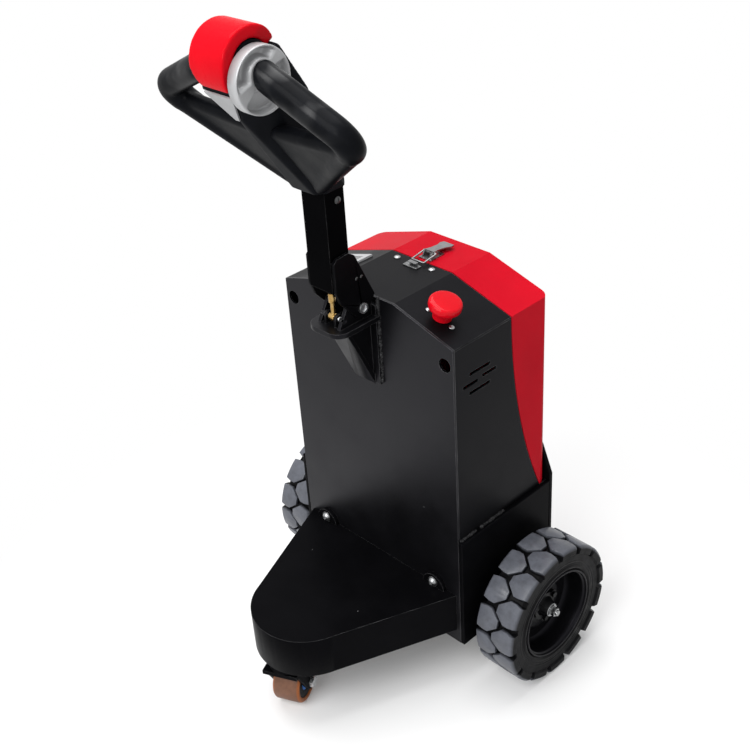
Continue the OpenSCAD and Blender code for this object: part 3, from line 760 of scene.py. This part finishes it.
def stop_button():
    """Emergency stop: a flat mushroom with a rounded rim on a short stem."""
    stop = bpy.context.scene.tractor_stop
    low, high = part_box("estop_button")
    corners = [v.co for v in nodes["estop_button"].data.vertices]
    widest = [place for place in corners if min(place.y - low.y, high.y - place.y) < MERGE]
    middle = sum(widest, Vector()) / len(widest)
    middle.y = (low.y + high.y) / 2
    axis = Vector((math.sin(stop.lean), 0, math.cos(stop.lean)))
    down = Vector((math.cos(stop.lean), 0, -math.sin(stop.lean)))
    foot = middle - stop.waist * axis
    mesh = bmesh.new()
    rings = []
    for radius, height in STOP_OUTLINE[:-1]:
        ring = []
        for i in range(stop.spokes):
            turn = 2 * math.pi * i / stop.spokes
            out = math.cos(turn) * down + math.sin(turn) * Vector((0, 1, 0))
            ring.append(mesh.verts.new(foot + height * MM * axis + radius * MM * out))
        rings.append(ring)
    round_skin(mesh, rings, foot, foot + STOP_OUTLINE[-1][1] * MM * axis)
    piece = new_piece("stop_button", mesh, signal_red(0.3), "chassis")
    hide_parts("estop_button")
    smooth = piece.modifiers.new("smooth", "SUBSURF")
    smooth.levels = 2
    smooth.render_levels = 2


class Piece:
    """Common settings of the operators."""

    bl_options = {"REGISTER", "UNDO"}


class TRACTOR_OT_body(Piece, bpy.types.Operator):
    """Sheet steel body, chassis plates and nose"""

    bl_idname = "tractor.body"
    bl_label = "Body and chassis"

    def execute(self, context):
        edge = looks().edge
        sheet = ["top_cover", "side_panel_left", "side_panel_right"]
        plate = ["chassis_side_left", "chassis_side_right", "rear_plate", "floor_plate", "battery_tray"]
        nose = ["nose_shell", "nose_floor", "nose_ears"]
        dress(sheet, black_coat("sheet"))
        dress(["front_panel"], black_coat("front"))
        dress(plate + nose, black_coat("plate"), 1.6 * edge)
        dress(["nose_bolts"], zinc_plate("mid"), 0.4 * edge)
        return {"FINISHED"}


class TRACTOR_OT_hood(Piece, bpy.types.Operator):
    """Red hood"""

    bl_idname = "tractor.hood"
    bl_label = "Hood"

    def execute(self, context):
        dress(["hood_shell"], red_coat(), 1.6 * looks().edge, 3)
        return {"FINISHED"}


# Where the side welds lie, as shares of the way from the front edge to the hood
STITCHES = ((0.0, 0.2), (0.24, 0.55))
# How far a side weld stops before the front edge and the hood
SIDE_WELD_END = 4 * MM
# Half the width between the bracket's welds, and how far they stop before its lower and upper ends
BRACKET_HALF = 34 * MM
BRACKET_ENDS = (6 * MM, 12 * MM)


class TRACTOR_OT_welds(Piece, bpy.types.Operator):
    """Weld beads of chassis and tiller bracket"""

    bl_idname = "tractor.welds"
    bl_label = "Welds"

    def execute(self, context):
        hood = nodes["hood_shell"].data.vertices
        for side, sign in SIDES:
            low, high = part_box(f"chassis_side_{side}")
            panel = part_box(f"side_panel_{side}")
            x = panel[1][0] if sign > 0 else panel[0][0]
            reach = high[2] + 3 * looks().bead
            front = low[1] + SIDE_WELD_END
            rear = min(v.co.y for v in hood if v.co.z < reach) - SIDE_WELD_END
            runs = []
            for stitch in STITCHES:
                runs.append([(x, front + share * (rear - front), high[2]) for share in stitch])
            weld_bead(f"weld_side_{side}", "chassis", runs, (sign, 0, 1))
        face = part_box("front_panel")[0][1]
        low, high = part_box("tiller_bracket")
        for side, sign in SIDES:
            x = sign * BRACKET_HALF
            run = [(x, face, low[2] + BRACKET_ENDS[0]), (x, face, high[2] - BRACKET_ENDS[1])]
            weld_bead(f"weld_bracket_{side}", "chassis", [run], (sign, -1, 0))
        return {"FINISHED"}


class TRACTOR_OT_wheels(Piece, bpy.types.Operator):
    """Drive tyres, rims and hubs"""

    bl_idname = "tractor.wheels"
    bl_label = "Drive wheels"

    def execute(self, context):
        edge = looks().edge
        for side, _ in SIDES:
            dress([f"tyre_{side}"], tyre_rubber(side), 2.2 * edge)
            dress([f"rim_{side}"], black_coat("rim"), edge)
            dress([f"hub_{side}"], hub_steel(side), 0.7 * edge)
        return {"FINISHED"}


class TRACTOR_OT_castor(Piece, bpy.types.Operator):
    """Castor with its plate"""

    bl_idname = "tractor.castor"
    bl_label = "Castor"

    def execute(self, context):
        edge = looks().edge
        dress(["castor_plate", "castor_fork"], black_coat("plate"), edge)
        dress(["castor_axle"], zinc_plate("bright"), 0.5 * edge)
        dress(["castor_tread"], castor_rubber(), edge)
        dress(["castor_core"], castor_iron(), edge)
        dress(["castor_seals"], blue_seal(), 0.4 * edge)
        return {"FINISHED"}


class TRACTOR_OT_tiller(Piece, bpy.types.Operator):
    """Tiller bracket, fork, tube and gas spring"""

    bl_idname = "tractor.tiller"
    bl_label = "Tiller"

    def execute(self, context):
        edge = looks().edge
        dress(["tiller_bracket"], black_coat("bracket"), edge)
        dress(["tiller_fork"], black_coat("plate"), edge)
        dress(["tiller_tube"], black_coat("tube"), 2.5 * edge, 3)
        dress(["pivot_bolt"], zinc_plate("bright"), 0.4 * edge)
        dress(["tiller_screws"], zinc_plate("dark"), 0.4 * edge)
        dress(["gas_spring"], plated_brass(), 0.5 * edge)
        return {"FINISHED"}


class TRACTOR_OT_head(Piece, bpy.types.Operator):
    """Tiller head with grips, cap, insert and thumb knob"""

    bl_idname = "tractor.head"
    bl_label = "Tiller head"

    def execute(self, context):
        edge = looks().edge
        mould(["head_body"], moulded_black(), 2.2 * MM, 8)
        mould(["grip_loops"], soft_grip(), 2.2 * MM, 26)
        mould(["safety_cap"], signal_red(0.08), 1.6 * MM, 14)
        thumb_knob()
        dress(["head_insert"], silver_paint(0.65), 0.5 * edge)
        return {"FINISHED"}


class TRACTOR_OT_controls(Piece, bpy.types.Operator):
    """Emergency stop, indicator panel, screws and hood latch"""

    bl_idname = "tractor.controls"
    bl_label = "Controls and latch"

    def execute(self, context):
        edge = looks().edge
        stop_button()
        dress(["display_panel"], silver_paint(0.9), 0.6 * edge)
        dress(["display_window"], smoked_window(), 0.3 * edge)
        dress(["cover_screws"], zinc_plate("mid"), 0.4 * edge)
        dress(["latch_strike", "hood_latch"], zinc_plate("dull"), 0.4 * edge)
        return {"FINISHED"}


class TRACTOR_OT_tow(Piece, bpy.types.Operator):
    """Tow jaw with its bolts and pin"""

    bl_idname = "tractor.tow"
    bl_label = "Tow jaw"

    def execute(self, context):
        edge = looks().edge
        dress(["tow_jaw"], black_coat("plate"), 1.6 * edge)
        dress(["tow_bolts", "tow_pin"], zinc_plate("bright"), 0.7 * edge)
        return {"FINISHED"}


class TRACTOR_OT_drive(Piece, bpy.types.Operator):
    """Drive unit, axle tubes and battery"""

    bl_idname = "tractor.drive"
    bl_label = "Drive unit"

    def execute(self, context):
        edge = looks().edge
        dress(["transaxle", "axle_tubes"], dark_casting(), 2 * edge)
        dress(["battery_pack"], battery_case(), 4 * edge, 3)
        return {"FINISHED"}


# Side of the square floor in metres
FLOOR = 30
# Width of the camera's sensor in millimetres
SENSOR = 36


def studio_light(name, place, aim, size, energy):
    """A soft square lamp that looks at a point."""
    lamp = bpy.data.lights.new(name, "AREA")
    lamp.size = size
    lamp.energy = energy
    light = bpy.data.objects.new(name, lamp)
    light.location = place
    light.rotation_euler = (Vector(aim) - Vector(place)).to_track_quat("-Z", "Y").to_euler()
    bpy.context.scene.collection.objects.link(light)


class TRACTOR_OT_stage(Piece, bpy.types.Operator):
    """Pale floor, soft studio light and the camera"""

    bl_idname = "tractor.stage"
    bl_label = "Studio"

    def execute(self, context):
        scene = context.scene
        stage = scene.tractor_stage
        scene.view_settings.view_transform = "Standard"
        self.floor(stage)
        self.room(scene, stage)
        studio_light("key_light", (0.4, -2.7, 3.0), (0, 0, 0.5), 2.4, stage.key)
        studio_light("fill_light", (2.8, -0.6, 1.5), (0, 0, 0.4), 2.2, stage.fill)
        studio_light("top_light", (-0.6, 0.2, 3.4), (0, 0, 0.5), 2.6, stage.top)
        self.camera(scene, stage)
        return {"FINISHED"}

    def floor(self, stage):
        """Matte floor that keeps the shadow and turns to plain white away from the object."""
        bpy.ops.mesh.primitive_plane_add(size=FLOOR)
        floor = bpy.context.object
        floor.name = "studio_floor"
        paint = bpy.data.materials.new("studio_floor")
        paint.use_nodes = True
        paint.node_tree.nodes.clear()
        made = Tree(paint.node_tree)
        matte = made.node("ShaderNodeBsdfDiffuse", None, {"Color": (stage.floor, stage.floor, stage.floor)})
        white = made.node("ShaderNodeEmission", None, {"Strength": 1.0})
        away = made.vector("LENGTH", made.place(), output="Value")
        share = made.seen() * made.ramp(away, stage.near, stage.far, stage.glow, 1.0)
        both = made.node("ShaderNodeMixShader", None, {0: share, 1: matte, 2: white})
        made.node("ShaderNodeOutputMaterial", None, {"Surface": both})
        floor.data.materials.append(paint)

    def room(self, scene, stage):
        """Even light from all sides, seen as plain white."""
        world = bpy.data.worlds.new("studio_room")
        scene.world = world
        world.use_nodes = True
        made = Tree(world.node_tree)
        sky = world.node_tree.nodes["Background"]
        made.feed(sky.inputs["Color"], (1, 1, 1))
        made.feed(sky.inputs["Strength"], made.ramp(made.seen(), 0, 1, stage.world, 1))

    def camera(self, scene, stage):
        """Camera at the viewing angle of the photograph."""
        turn, lift, roll = stage.azimuth, stage.elevation, stage.roll
        back = Vector((math.sin(turn) * math.cos(lift), -math.cos(turn) * math.cos(lift), math.sin(lift)))
        right = Vector((math.cos(turn), math.sin(turn), 0))
        up = back.cross(right)
        side = math.cos(roll) * right + math.sin(roll) * up
        top = math.cos(roll) * up - math.sin(roll) * right
        lens = bpy.data.cameras.new("camera")
        lens.lens = stage.lens
        lens.sensor_width = SENSOR
        camera = bpy.data.objects.new("camera", lens)
        turned = Matrix((side, top, back)).transposed().to_4x4()
        camera.matrix_world = Matrix.Translation(stage.place) @ turned
        scene.collection.objects.link(camera)
        scene.camera = camera


OPERATORS = (
    TRACTOR_OT_body,
    TRACTOR_OT_hood,
    TRACTOR_OT_welds,
    TRACTOR_OT_wheels,
    TRACTOR_OT_castor,
    TRACTOR_OT_tiller,
    TRACTOR_OT_head,
    TRACTOR_OT_controls,
    TRACTOR_OT_tow,
    TRACTOR_OT_drive,
    TRACTOR_OT_stage,
)


GROUPS = {
    "tractor_looks": TractorLooks,
    "tractor_knob": TractorKnob,
    "tractor_stop": TractorStop,
    "tractor_stage": TractorStage,
}


class TRACTOR_PT_panel(bpy.types.Panel):
    """Lists the pieces of the tow tractor"""

    bl_idname = "TRACTOR_PT_panel"
    bl_label = "Tow tractor"
    bl_space_type = "VIEW_3D"
    bl_region_type = "UI"
    bl_category = "Tow tractor"

    def draw(self, context):
        for group in GROUPS:
            values = getattr(context.scene, group)
            for name in values.__annotations__:
                self.layout.prop(values, name)
        for operator in OPERATORS:
            self.layout.operator(operator.bl_idname)


CLASSES = (*GROUPS.values(), *OPERATORS, TRACTOR_PT_panel)


def register():
    for cls in CLASSES:
        bpy.utils.register_class(cls)
    for name, group in GROUPS.items():
        setattr(bpy.types.Scene, name, PointerProperty(type=group))


def unregister():
    for name in GROUPS:
        delattr(bpy.types.Scene, name)
    for cls in reversed(CLASSES):
        bpy.utils.unregister_class(cls)


def main():
    register()
    for operator in OPERATORS:
        group, name = operator.bl_idname.split(".")
        getattr(getattr(bpy.ops, group), name)()


if __name__ == "__main__":
    main()
